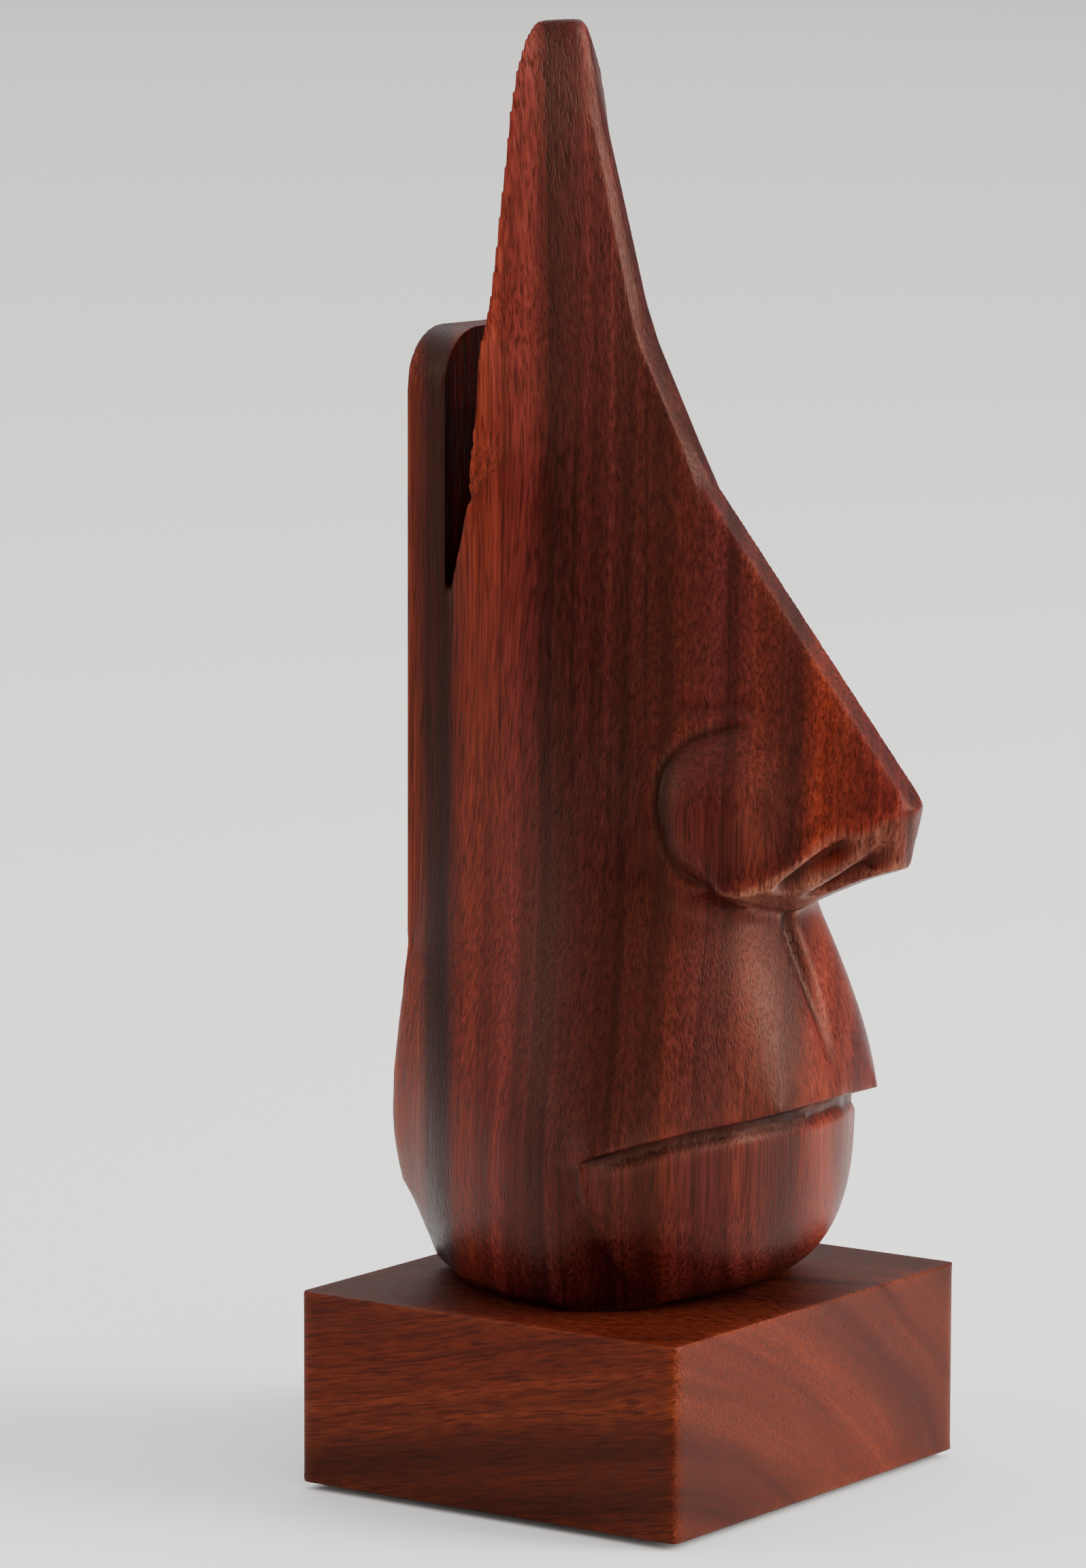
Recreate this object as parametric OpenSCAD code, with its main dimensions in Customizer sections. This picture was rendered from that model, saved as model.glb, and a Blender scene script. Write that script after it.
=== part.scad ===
// Eyeglasses display stand: a carved hardwood face on a square block.
// The block's centre is the middle of the design, +Z is up and the nose points to -Y.
// A slot behind the brow takes the folded temples of the glasses that hang on the nose.

/* [Base block] */
// Width of the block, left to right
base_w = 52; // [40:0.5:80]
// Depth of the block, front to back
base_d = 46.6; // [40:0.2:80]
// Height of the block
base_h = 20; // [16:0.5:40]
// Radius of the block's four upright edges
base_edge_r = 0.6; // [0.2:0.1:3]

/* [Carved head] */
// Height of the head above the block
head_h = 129.6; // [100:0.2:180]
// Width of the head at the corners of the mouth
head_w = 50.6; // [40:0.2:64]
// Distance from the middle of the block back to the head's flat back
head_back = 20; // [16:0.5:26]
// Distance from the middle of the block forward to the tip of the nose
nose_reach = 34.6; // [28:0.2:44]

/* [Temple slot] */
// Width of the slot at its mouth
slot_w = 5.6; // [4.8:0.1:8]
// Thickness of the rear wall behind the slot
rear_wall_t = 4.7; // [3:0.1:7]
// Width of the rear wall
rear_wall_w = 24; // [18:0.5:26]
// Radius of the rear wall's two top corners
rear_wall_r = 6; // [1:0.5:8]

/* [Fixing screws] */
// Distance between the two screws
screw_spacing = 16; // [14:0.5:20]
// Diameter of the plain shank
screw_d = 4; // [3:0.5:5]
// Diameter of the thread's core
screw_core_d = 3; // [2:0.1:3.5]
// Diameter of the countersunk screw head
screw_head_d = 8; // [6.5:0.5:10]
// Length of the screw
screw_l = 30; // [24:1:35]
// Length of the pointed tip
screw_tip_l = 4; // [2:0.5:6]
// Width over the arms of the cross recess in the screw head
cross_w = 4.4; // [3:0.1:5]
// Depth of the cross recess
cross_depth = 1.6; // [0.8:0.1:2]
// Clearance all round a screw in the wood
screw_clearance = 0.1; // [0.05:0.05:0.4]

/* [Plugs] */
// Diameter of the holes that the plugs close
plug_hole_d = 10; // [9:0.5:12]
// Thickness of a plug
plug_t = 4; // [2:0.5:6]
// Air between a plug and the screw head above it
plug_air = 1; // [0.5:0.1:2]
// Clearance all round a plug
plug_clearance = 0.05; // [0.02:0.01:0.2]

/* [Felt pads] */
// Diameter of a felt pad
pad_d = 9; // [6:0.5:12]
// Thickness of a felt pad
pad_t = 1.5; // [1:0.1:3]
// Depth of the recess that a pad sits in
pad_recess = 0.7; // [0.3:0.1:1.5]
// Distance from the block's edges to a pad's middle
pad_inset = 8; // [7:0.5:12]
// Clearance all round a pad
pad_clearance = 0.1; // [0.05:0.05:0.4]

/* [Hidden] */

round_fn = 64;
eps = 0.01;
// How far a cutting shape runs past the surface that it cuts.
over = 1;
// Width of one arm of the cross recess.
cross_t = 0.9;
// Width of the screw's blunt point.
point_d = 0.4;
// The plain shank ends this far below the joint with the head.
shank_stop = 2;

// The block stands on its pads, so its underside is this high.
base_z = pad_t - pad_recess;
head_z = base_z + base_h;
// Moves the design so that its bounding box is centred on the origin.
centre_y = (nose_reach - max(base_d / 2, head_back)) / 2;

// The carving pattern is drawn for a head of this size and stretched to the sizes above.
pattern_h = 129.6;
pattern_w = 50.6;
pattern_reach = 34.6;
pattern_back = 20;
stretch_x = head_w / pattern_w;
stretch_z = head_h / pattern_h;

// Heights of the slot's floor and of the rear wall's top, in the pattern.
slot_floor_h = 68.5;
rear_wall_h = 98.4;
// Half width of the rear wall, and a point just in front of it, in the pattern.
wall_x = rear_wall_w / 2 / stretch_x;
wall_step = 0.5;
wall_f = (rear_wall_t + wall_step - head_back) * pattern_back / head_back;
// Back of the brow, in the pattern, with the standard slot.
brow_back = -9.7;
// How far the middle of the brow stands forward of the creases beside it, in the pattern.
brow_rise = 0.3;
// Middle and radius of the rounded nostril wings, in the pattern.
wing_at = [5.4, 15.5, 50.4];
wing_r = 8.4;

// Forward distance in the pattern, stretched behind and in front of the block's middle.
function forward(f) = f < 0 ? f * head_back / pattern_back : f * nose_reach / pattern_reach;

// One point of the pattern, from half width, forward distance and height, in the model's axes.
function carve(x, f, h) = [x * stretch_x, -forward(f), head_z + h * stretch_z];

// A level of the head. Its half outline runs from the back corner round to the middle of the
// front, and the front part of the level rises by crown towards the middle.
function level(h, outline, front, crown = 0) = [h, outline, front, crown];

// The two points of an outline that belong to the rear wall.
REAR = [[wall_x, -pattern_back], [wall_x, wall_f]];

// A level above the eyes: one flat flank from behind the brow to the crease beside the ridge.
function wedge(h, half_w, crease_x, crease_f) = level(
    h,
    concat(REAR, [
        for (t = [-0.1, 0.18, 0.36, 0.55, 0.77, 1])
            [half_w + (crease_x - half_w) * t, brow_back + (crease_f - brow_back) * t]
    ]),
    crease_f + brow_rise
);

LEVELS = [
    // Foot, rounded in from the jaw
    level(0, [[6, -18], [6.8, -17.4], [13.4, -11], [17, -3], [18.2, 4.5], [14.5, 9.8],
        [9.5, 12], [4.8, 12.8]], 13),
    level(1.2, [[7.5, -19.3], [8.3, -18.7], [15.2, -11], [19, -2.5], [19.8, 5], [14.2, 11],
        [11, 14.2], [5.5, 15.6]], 16),
    level(3.1, [[9, -20], [9.8, -19.2], [17, -10.5], [20.8, -1.5], [21.2, 6], [16.6, 11],
        [12.5, 15.4], [6.5, 18.3]], 19),
    level(6, [[11, -20], [11.7, -19.2], [18.6, -10.5], [22.2, -1], [22.9, 6.5], [19.9, 11],
        [14, 16.9], [7.5, 19.8]], 20.6),
    // Jaw and chin
    level(8.7, [[12.4, -20], [13.1, -19.2], [19.4, -10], [23, -1], [24, 6.5], [22.3, 11],
        [15, 17.3], [8, 20.3]], 21.3),
    level(12, [[13.6, -20], [14.2, -19.2], [20, -10], [23.5, -0.5], [24.7, 6], [24.3, 10.9],
        [16, 17.2], [8.5, 20.6]], 21.7),
    level(14.6, [[14.3, -20], [14.9, -19.2], [20.3, -10], [23.6, -0.5], [24.9, 5.5], [25, 10.7],
        [16.5, 17], [8.8, 20.7]], 21.9, 1),
    // Mouth: the chin's top edge, then the lip's lower edge in front of it
    level(17, [[14.6, -20], [15.2, -19.2], [20.2, -10], [23.4, -0.8], [24.9, 5], [25.3, 10.6],
        [16.8, 16.6], [9, 20.5]], 21.8, 3.4),
    level(17.9, [[14.6, -20], [15.2, -19.2], [20.2, -10], [23.4, -0.8], [24.9, 5.4], [25.2, 12.6],
        [17.5, 18.8], [9, 24.3]], 25.3, 3.8),
    // Upper lip
    level(22, [[14.4, -20], [15, -19.2], [19.4, -10.3], [22.6, -1.5], [24, 4.5], [24, 11.8],
        [16.8, 18.6], [9, 23.9]], 24.8, 3),
    level(28, [[13.3, -20], [13.9, -19.3], [17.6, -11], [20.6, -2.5], [22, 4], [20.8, 11.4],
        [15.5, 17.6], [8.6, 22.4]], 23.3, 1.5),
    // Cheek, behind the nose. The second point is the edge where the flank starts.
    level(35, [[wall_x, -20], [wall_x + 0.1, -19.2], [15.6, -11], [18.2, -3], [19.2, 3.5], [18.3, 10],
        [13.8, 15.8], [7.8, 20.2]], 21, 0.5),
    level(42, [[wall_x, -20], [wall_x, -18.6], [14.3, -11], [16.2, -3.5], [16.8, 3], [16, 9],
        [12.5, 13], [7, 16.5]], 18),
    level(50, [[wall_x, -20], [wall_x, -17.2], [13.4, -10.5], [14.6, -4], [14.9, 2], [14, 7.5],
        [11, 10.5], [6, 12.5]], 13.5),
    level(60, [[wall_x, -20], [wall_x, -16.1], [12.9, -10], [13.3, -4.5], [13, 0.5], [11.8, 5],
        [9, 8], [5, 10]], 11),
    // Brow, above the slot's floor
    level(slot_floor_h, concat(REAR, [[12.7, -10], [12.6, -5], [11.8, -0.5], [10.2, 3.8],
        [7.6, 7.3], [4, 10]]), 11.5),
    level(77, concat(REAR, [[12.4, -13.3], [12.2, -8], [10.6, -2], [8, 3.3],
        [5.5, 7.3], [2.8, 11]]), 12.5),
    level(80, concat(REAR, [[12.8, -12.5], [11.9, -7], [9.9, -1.5], [7.3, 3.2],
        [4.9, 6.8], [2.2, 10.3]]), 11.3),
    wedge(87, 13.5, 1.7, 6.9),
    wedge(97, 13.5, 1.8, 1.7),
    wedge(101, 12.1, 1.6, 0.3),
    wedge(111, 10.2, 1.4, -2.3),
    wedge(120, 8.7, 1.2, -4.7),
    wedge(124, 7.7, 1.1, -5.4),
    wedge(127.5, 6, 1, -6.2),
    wedge(129, 4.5, 0.9, -6.8),
    wedge(pattern_h, 3.2, 0.8, -7.4)
];

// Whole outline of one level: the half outline, the middle of the front and the mirrored half.
function ring(l) = let (
    half = l[1],
    n = len(half),
    widest = max([for (p = half) p[0]]),
    rise = function(i) i < 4 ? 0 : l[3] * (1 - pow(half[i][0] / widest, 2))
) concat(
    [for (i = [0 : n - 1]) carve(half[i][0], half[i][1], l[0] + rise(i))],
    [carve(0, l[2], l[0] + l[3])],
    [for (i = [n - 1 : -1 : 0]) carve(-half[i][0], half[i][1], l[0] + rise(i))]
);

// A closed solid through a stack of outlines that all have the same number of points.
module loft(rings) {
    n = len(rings[0]);
    last = (len(rings) - 1) * n;
    polyhedron(
        points = [for (r = rings) each r],
        faces = concat(
            [[for (i = [n - 1 : -1 : 0]) i]],
            [[for (i = [0 : n - 1]) last + i]],
            [
                for (k = [0 : len(rings) - 2], i = [0 : n - 1])
                    let (a = k * n + i, b = k * n + (i + 1) % n)
                    each [[a, b, a + n], [b, b + n, a + n]]
            ]
        )
    );
}

// The nose: a ridge, two flat sides and a keeled underside, with a rounded wing each side.
module nose() {
    half = [
        [1.4, 5, 88.1], [1.5, 33.6, 53.2], [2.2, 33.9, 51.9], [0.9, 33.1, 45.7],
        [12.4, 20.5, 43.1], [14.5, 9.5, 50.1], [12, 5.5, 62.1], [12, 8, 43.5], [8, 0, 44], [8, 0, 66]
    ];
    middle = [[0, pattern_reach, 51.7], [0, 20, 40]];
    points = concat(
        [for (p = half) carve(p[0], p[1], p[2])],
        [for (p = half) carve(-p[0], p[1], p[2])],
        [for (p = middle) carve(p[0], p[1], p[2])]
    );
    hull() polyhedron(points = points, faces = [[for (i = [0 : len(points) - 1]) i]]);
    for (side = [-1, 1])
        translate(carve(side * wing_at[0], wing_at[1], wing_at[2]))
            sphere(r = wing_r, $fn = round_fn);
}

// Draws a side view, forward distance against height, and gives it the width w.
module across(w) rotate([90, 0, -90]) translate([0, 0, -w / 2]) linear_extrude(w) children();

// What is cut away for the temples: a slot that narrows to its floor, and the space above
// the rear wall and behind the brow.
module temple_slot() {
    back = rear_wall_t - head_back;
    front = back + slot_w;
    floor_z = head_z + slot_floor_h * stretch_z;
    top_z = head_z + rear_wall_h * stretch_z;
    step = (top_z - floor_z) / 8;
    across(2 * head_w) polygon([
        [back, floor_z], [back + slot_w * 0.36, floor_z + 2 * step],
        [back + slot_w * 0.58, floor_z + 3.1 * step], [back + slot_w * 0.87, floor_z + 5 * step],
        [front, top_z], [front, head_z + head_h + over],
        [-head_back - over, head_z + head_h + over], [-head_back - over, top_z], [back, top_z]
    ]);
}

// The waste outside the rear wall's two rounded top corners.
module rear_wall_corners() {
    r = rear_wall_r;
    top = head_z + rear_wall_h * stretch_z;
    for (side = [-1, 1])
        translate([side * (rear_wall_w / 2 - r), head_back + over, top - r])
            rotate([90, 0, 0]) linear_extrude(rear_wall_t + over + slot_w / 2) difference() {
                translate([side > 0 ? 0 : -r - over, 0]) square(r + over);
                circle(r, $fn = round_fn);
            }
}

// A screw's outline turned round its axis, from its head up to its tip, grown by a clearance.
module screw_shape(grow = 0) {
    head_t = (screw_head_d - screw_d) / 2;
    shank_l = base_h - plug_depth() - shank_stop;
    core_l = screw_l - screw_tip_l;
    cylinder(h = head_t, d1 = screw_head_d + 2 * grow, d2 = screw_d + 2 * grow, $fn = round_fn);
    cylinder(h = shank_l, d = screw_d + 2 * grow, $fn = round_fn);
    cylinder(h = core_l, d = screw_core_d + 2 * grow, $fn = round_fn);
    translate([0, 0, core_l]) cylinder(
        h = screw_tip_l, d1 = screw_core_d + 2 * grow, d2 = point_d + 2 * grow, $fn = round_fn
    );
}

// The plug hole is as deep as the plug and a little air under the screw head.
function plug_depth() = plug_t + plug_air;

module at_screw(side) translate([side * screw_spacing / 2, 0, base_z + plug_depth()]) children();

module screw(side) at_screw(side) difference() {
    screw_shape();
    for (turn = [0, 90])
        rotate([0, 0, turn]) translate([-cross_w / 2, -cross_t / 2, -eps])
            cube([cross_w, cross_t, cross_depth]);
}

module at_pad(side, end) {
    x = side * (base_w / 2 - pad_inset);
    y = end * (base_d / 2 - pad_inset);
    translate([x, y, 0]) children();
}

module centred() translate([0, centre_y, 0]) children();

module carved_head() color("#6e2a1c") centred() difference() {
    union() {
        loft([for (l = LEVELS) ring(l)]);
        nose();
    }
    temple_slot();
    rear_wall_corners();
    for (side = [-1, 1]) at_screw(side) screw_shape(screw_clearance);
}

module base_block() color("#7d3826") centred() difference() {
    translate([0, 0, base_z]) linear_extrude(base_h) {
        square([base_w - 2 * base_edge_r, base_d], center = true);
        square([base_w, base_d - 2 * base_edge_r], center = true);
        for (sx = [-1, 1], sy = [-1, 1])
            translate([sx * (base_w / 2 - base_edge_r), sy * (base_d / 2 - base_edge_r)])
                circle(base_edge_r, $fn = round_fn);
    }
    for (side = [-1, 1]) {
        at_screw(side) screw_shape(screw_clearance);
        at_screw(side) translate([0, 0, -plug_depth() - eps])
            cylinder(h = plug_depth() + eps, d = plug_hole_d, $fn = round_fn);
        for (end = [-1, 1]) at_pad(side, end) translate([0, 0, base_z - eps])
            cylinder(h = pad_recess + eps, d = pad_d + 2 * pad_clearance, $fn = round_fn);
    }
}

module screw_left() color("#b8a467") centred() screw(-1);
module screw_right() color("#b8a467") centred() screw(1);

module screw_plug(side) color("#8a4a30") centred() at_screw(side)
    translate([0, 0, -plug_depth()])
        cylinder(h = plug_t, d = plug_hole_d - 2 * plug_clearance, $fn = round_fn);

module screw_plug_left() screw_plug(-1);
module screw_plug_right() screw_plug(1);

module felt_pad(side, end) color("#4a3a33") centred() at_pad(side, end)
    cylinder(h = pad_t, d = pad_d, $fn = round_fn);

module felt_pad_front_left() felt_pad(-1, -1);
module felt_pad_front_right() felt_pad(1, -1);
module felt_pad_back_left() felt_pad(-1, 1);
module felt_pad_back_right() felt_pad(1, 1);

carved_head();
base_block();
screw_left();
screw_right();
screw_plug_left();
screw_plug_right();
felt_pad_front_left();
felt_pad_front_right();
felt_pad_back_left();
felt_pad_back_right();
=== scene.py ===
"""Looks of a carved sheesham face that holds a pair of eyeglasses, on its square block.

Sizes in the tables and in arguments that end in _mm are millimetres; meshes are in metres.
"""

import math

import bmesh
import bpy
import numpy as np
from mathutils import Matrix, Vector
from mathutils.bvhtree import BVHTree
from mathutils.kdtree import KDTree


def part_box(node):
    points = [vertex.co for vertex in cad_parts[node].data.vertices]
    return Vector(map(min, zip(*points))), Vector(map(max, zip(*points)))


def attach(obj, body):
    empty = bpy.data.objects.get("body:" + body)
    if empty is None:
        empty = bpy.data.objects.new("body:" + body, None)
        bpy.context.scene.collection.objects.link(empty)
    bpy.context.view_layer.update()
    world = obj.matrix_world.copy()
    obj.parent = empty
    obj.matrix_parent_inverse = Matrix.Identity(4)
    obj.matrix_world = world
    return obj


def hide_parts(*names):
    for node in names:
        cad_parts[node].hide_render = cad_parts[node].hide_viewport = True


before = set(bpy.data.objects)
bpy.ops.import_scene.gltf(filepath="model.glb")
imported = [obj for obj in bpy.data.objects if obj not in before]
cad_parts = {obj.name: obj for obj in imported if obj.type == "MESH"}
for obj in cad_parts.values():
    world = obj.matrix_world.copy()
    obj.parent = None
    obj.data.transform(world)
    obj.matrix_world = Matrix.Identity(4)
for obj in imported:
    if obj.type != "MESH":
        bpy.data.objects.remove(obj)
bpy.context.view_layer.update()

MM = 0.001
BLOCK_LOW, BLOCK_HIGH = (Vector(c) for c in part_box("base_block"))
# Middle of the block from left to right and front to back: the carving is laid out from here.
CENTRE_X = (BLOCK_LOW.x + BLOCK_HIGH.x) / 2
CENTRE_Y = (BLOCK_LOW.y + BLOCK_HIGH.y) / 2
BLOCK_UNDERSIDE = BLOCK_LOW.z
# Seed of the first felt pad's loose fibres; each pad after it has the next one.
SEED = 7
# Spacing of the points on the remeshed head and block.
HEAD_SPACING = 0.5 * MM
BLOCK_SPACING = 0.6 * MM


# ---------------------------------------------------------------- camera, light and floor


def add_camera():
    """A long lens, a little above the table, at the front of the face's left side."""
    data = bpy.data.cameras.new("camera")
    data.lens = 162.6
    data.sensor_width = 36.0
    data.sensor_fit = "AUTO"
    data.clip_start = 0.01
    data.clip_end = 50.0
    camera = bpy.data.objects.new("camera", data)
    bpy.context.scene.collection.objects.link(camera)
    camera.rotation_euler = [math.radians(a) for a in (82.197, -0.143, -54.686)]
    place = Vector((-0.59406, -0.40914, 0.17038))
    camera.location = place + Vector((CENTRE_X, CENTRE_Y, BLOCK_UNDERSIDE))
    bpy.context.scene.camera = camera


def add_area_light(name, place, target, size, power):
    """A softbox of a width and height in metres and a power in watts, aimed at a target."""
    data = bpy.data.lights.new(name, "AREA")
    data.shape = "RECTANGLE"
    data.size, data.size_y = size
    data.energy = power
    light = bpy.data.objects.new(name, data)
    bpy.context.scene.collection.objects.link(light)
    aim = (Vector(place) - Vector(target)).to_track_quat("Z", "Y")
    light.matrix_world = Matrix.Translation(Vector(place)) @ aim.to_matrix().to_4x4()


def add_studio():
    """A large white ceiling, a softbox at the front right, a low fill and a weak rim."""
    world = bpy.data.worlds.new("studio")
    bpy.context.scene.world = world
    world.use_nodes = True
    shade = world.node_tree.nodes["Background"]
    shade.inputs["Color"].default_value = (1.0, 1.0, 1.0, 1.0)
    shade.inputs["Strength"].default_value = 0.3
    middle = (0.0, 0.0, 0.07)
    add_area_light("ceiling", (0.0, 0.0, 4.0), middle, (14.0, 14.0), 900.0)
    add_area_light("key", (0.45, -1.1, 0.6), middle, (0.6, 0.8), 34.0)
    add_area_light("low fill", (-0.55, -0.95, 0.1), middle, (0.9, 0.3), 6.5)
    add_area_light("rim", (-0.8, 0.9, 0.5), middle, (0.4, 0.6), 4.5)


# ---------------------------------------------------------------- materials


def linear(code):
    """Turns an sRGB hex colour into the linear colour that a shader socket takes."""
    parts = [int(code[i:i + 2], 16) / 255 for i in (1, 3, 5)]
    flat = [p / 12.92 if p <= 0.04045 else ((p + 0.055) / 1.055) ** 2.4 for p in parts]
    return (*flat, 1.0)


def add(tree, kind, settings=None, links=None):
    """Adds a node. Settings are its own properties, its inputs or a ramp's stops."""
    node = tree.nodes.new(kind)
    for key, value in (settings or {}).items():
        if key == "stops":
            ramp = node.color_ramp
            while len(ramp.elements) < len(value):
                ramp.elements.new(0.5)
            for element, (position, colour) in zip(ramp.elements, value):
                element.position = position
                element.color = linear(colour)
        elif isinstance(key, int) or key in node.inputs:
            node.inputs[key].default_value = value
        else:
            setattr(node, key, value)
    for key, source in (links or {}).items():
        tree.links.new(source, node.inputs[key])
    return node


def new_material(name):
    material = bpy.data.materials.new(name)
    material.use_nodes = True
    tree = material.node_tree
    shader = tree.nodes["Principled BSDF"]
    return material, tree, shader


def sheesham(name, turn, offset, stripes, span_mm, contrast, swirl_mm, bow_mm, ring_mm, fibre_mm,
             roughness):
    """Sheesham, an Indian rosewood, oiled: deep red-brown, striped, with a low coloured sheen.

    Z of the turned and offset coordinates runs along the fibres. stripes gives the timber's broad
    colours over span_mm across the growth rings, which are arcs of radius bow_mm and waver by
    swirl_mm. contrast is that of the rings, ring_mm apart, and of the fibres, fibre_mm long.
    """
    material, tree, shader = new_material(name)
    place = add(tree, "ShaderNodeTexCoord")
    grain = add(
        tree, "ShaderNodeMapping",
        {"Rotation": turn, "Scale": (1 / MM,) * 3, "Location": offset},
        {"Vector": place.outputs["Object"]},
    ).outputs[0]
    # The fibres drift slowly to the sides.
    slow = add(tree, "ShaderNodeMapping", {"Scale": (1, 1, 0.4)}, {"Vector": grain}).outputs[0]
    drift = add(
        tree, "ShaderNodeTexNoise", {"Scale": 1 / 34, "Detail": 2.0, "Roughness": 0.5},
        {"Vector": slow},
    ).outputs["Color"]
    centred = add(
        tree, "ShaderNodeVectorMath", {"operation": "SUBTRACT", 1: (0.5, 0.5, 0.5)}, {0: drift}
    ).outputs[0]
    warped = add(
        tree, "ShaderNodeVectorMath",
        {"operation": "MULTIPLY_ADD", 1: (swirl_mm, swirl_mm, 0.0)}, {0: centred, 2: grain},
    ).outputs[0]
    # Growth rings are arcs round a pith bow_mm away on the X side.
    to_pith = add(
        tree, "ShaderNodeVectorMath", {"operation": "ADD", 1: (bow_mm, 0.0, 0.0)}, {0: warped}
    ).outputs[0]
    flat = add(
        tree, "ShaderNodeVectorMath", {"operation": "MULTIPLY", 1: (1.0, 1.0, 0.0)}, {0: to_pith}
    ).outputs[0]
    radius = add(
        tree, "ShaderNodeVectorMath", {"operation": "LENGTH"}, {0: flat}
    ).outputs["Value"]
    across = add(
        tree, "ShaderNodeMapRange",
        {"From Min": bow_mm - span_mm / 2, "From Max": bow_mm + span_mm / 2}, {0: radius},
    ).outputs[0]
    colour = add(
        tree, "ShaderNodeValToRGB", {"stops": stripes}, {0: across}
    ).outputs["Color"]
    parts = add(tree, "ShaderNodeSeparateXYZ", None, {0: warped})
    rings = add(
        tree, "ShaderNodeCombineXYZ", None,
        {0: radius, 1: parts.outputs[1], 2: parts.outputs[2]},
    ).outputs[0]

    def streaks(source, width, deep, length, detail):
        """Noise in spots that are width across, deep the other way and length long, all in mm."""
        at = add(
            tree, "ShaderNodeMapping", {"Scale": (1 / width, 1 / deep, 1 / length)},
            {"Vector": source},
        ).outputs[0]
        return add(
            tree, "ShaderNodeTexNoise", {"Scale": 1.0, "Detail": detail, "Roughness": 0.55},
            {"Vector": at},
        ).outputs["Fac"]

    def tone(source, low, high, dark, light):
        """Spreads low to high over dark to light, and holds what lies beyond at the ends."""
        return add(
            tree, "ShaderNodeMapRange",
            {"From Min": low, "From Max": high, "To Min": dark, "To Max": light}, {0: source},
        ).outputs[0]

    def times(a, b):
        return add(tree, "ShaderNodeMath", {"operation": "MULTIPLY"}, {0: a, 1: b}).outputs[0]

    # Growth rings, dark and pale lines between some of them, and single fibres.
    growth = streaks(rings, ring_mm, 60, 150, 2.0)
    lines = streaks(rings, 0.4 * ring_mm, 40, 110, 1.0)
    fibre = streaks(warped, 0.35, 0.35, fibre_mm, 2.0)
    # Open pores: dark dashes 0.2 mm wide and 3 mm long, dots on the end grain.
    pore = streaks(warped, 0.2, 0.2, 4.5, 0.0)
    pores = tone(pore, 0.56, 0.70, 0.0, 1.0)
    shade = tone(growth, 0.32, 0.68, 1 - contrast, 1 + contrast)
    shade = times(shade, tone(lines, 0.30, 0.42, 1 - contrast, 1.0))
    shade = times(shade, tone(lines, 0.58, 0.72, 1.0, 1 + contrast))
    shade = times(shade, tone(fibre, 0.3, 0.7, 1 - contrast, 1 + 1.2 * contrast))
    shade = times(shade, tone(pores, 0.0, 1.0, 1.0, 0.55))
    # Wax and painted shade darken the cuts and hollows, handling lightens the edges, and the head's
    # painted highlights and painted shade come in here as well.
    wear = add(tree, "ShaderNodeAttribute", {"attribute_name": "wear"}).outputs["Fac"]
    shade = times(shade, tone(wear, 0.0, 1.0, 0.4, 1.6))
    # A painted reflection of the pale floor: where it is marked, the colour turns to a pale greyish
    # brown.
    raw = add(tree, "ShaderNodeAttribute", {"attribute_name": "raw"}).outputs["Fac"]
    with_floor_reflection = add(
        tree, "ShaderNodeMix", {"data_type": "RGBA", 7: linear("#4d271e")},
        {0: raw, 6: colour},
    ).outputs[2]
    # Lighter fibres are more orange, darker ones more purple.
    warmth = add(
        tree, "ShaderNodeCombineXYZ", None, {
            0: shade,
            1: add(tree, "ShaderNodeMath", {"operation": "POWER", 1: 1.35}, {0: shade}).outputs[0],
            2: add(tree, "ShaderNodeMath", {"operation": "POWER", 1: 1.2}, {0: shade}).outputs[0],
        },
    ).outputs[0]
    toned = add(
        tree, "ShaderNodeVectorMath", {"operation": "MULTIPLY"}, {0: with_floor_reflection, 1: warmth}
    ).outputs[0]
    relief = add(
        tree, "ShaderNodeMath", {"operation": "MULTIPLY_ADD", 1: -0.7}, {0: pores, 2: fibre}
    ).outputs[0]
    bump = add(
        tree, "ShaderNodeBump", {"Strength": 0.3, "Distance": 0.00008}, {"Height": relief}
    ).outputs[0]
    tree.links.new(toned, shader.inputs["Base Color"])
    tree.links.new(bump, shader.inputs["Normal"])
    tree.links.new(tone(fibre, 0.3, 0.7, *roughness), shader.inputs["Roughness"])
    shader.inputs["IOR"].default_value = 1.5
    shader.inputs["Specular IOR Level"].default_value = 0.2
    # Oil in the fibres gives the sheen their colour.
    shader.inputs["Specular Tint"].default_value = (1.0, 0.45, 0.28, 1.0)
    return material


# ---------------------------------------------------------------- work on meshes


def make_object(name, points, faces):
    """A mesh object from points in metres."""
    mesh = bpy.data.meshes.new(name)
    mesh.from_pydata([tuple(p) for p in points], [], [tuple(f) for f in faces])
    mesh.update()
    obj = bpy.data.objects.new(name, mesh)
    bpy.context.scene.collection.objects.link(obj)
    return obj


def as_plain_mesh(obj):
    """Applies an object's modifiers and gives the same object back without them."""
    graph = bpy.context.evaluated_depsgraph_get()
    result = bpy.data.meshes.new_from_object(obj.evaluated_get(graph))
    obj.modifiers.clear()
    old = obj.data
    obj.data = result
    bpy.data.meshes.remove(old)
    return obj


def merged_copy(node, name):
    """A copy of a CAD node's mesh with its loose triangles joined."""
    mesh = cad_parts[node].data.copy()
    work = bmesh.new()
    work.from_mesh(mesh)
    bmesh.ops.remove_doubles(work, verts=work.verts, dist=0.002 * MM)
    work.to_mesh(mesh)
    work.free()
    mesh.materials.clear()
    obj = bpy.data.objects.new(name, mesh)
    bpy.context.scene.collection.objects.link(obj)
    return obj


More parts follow.
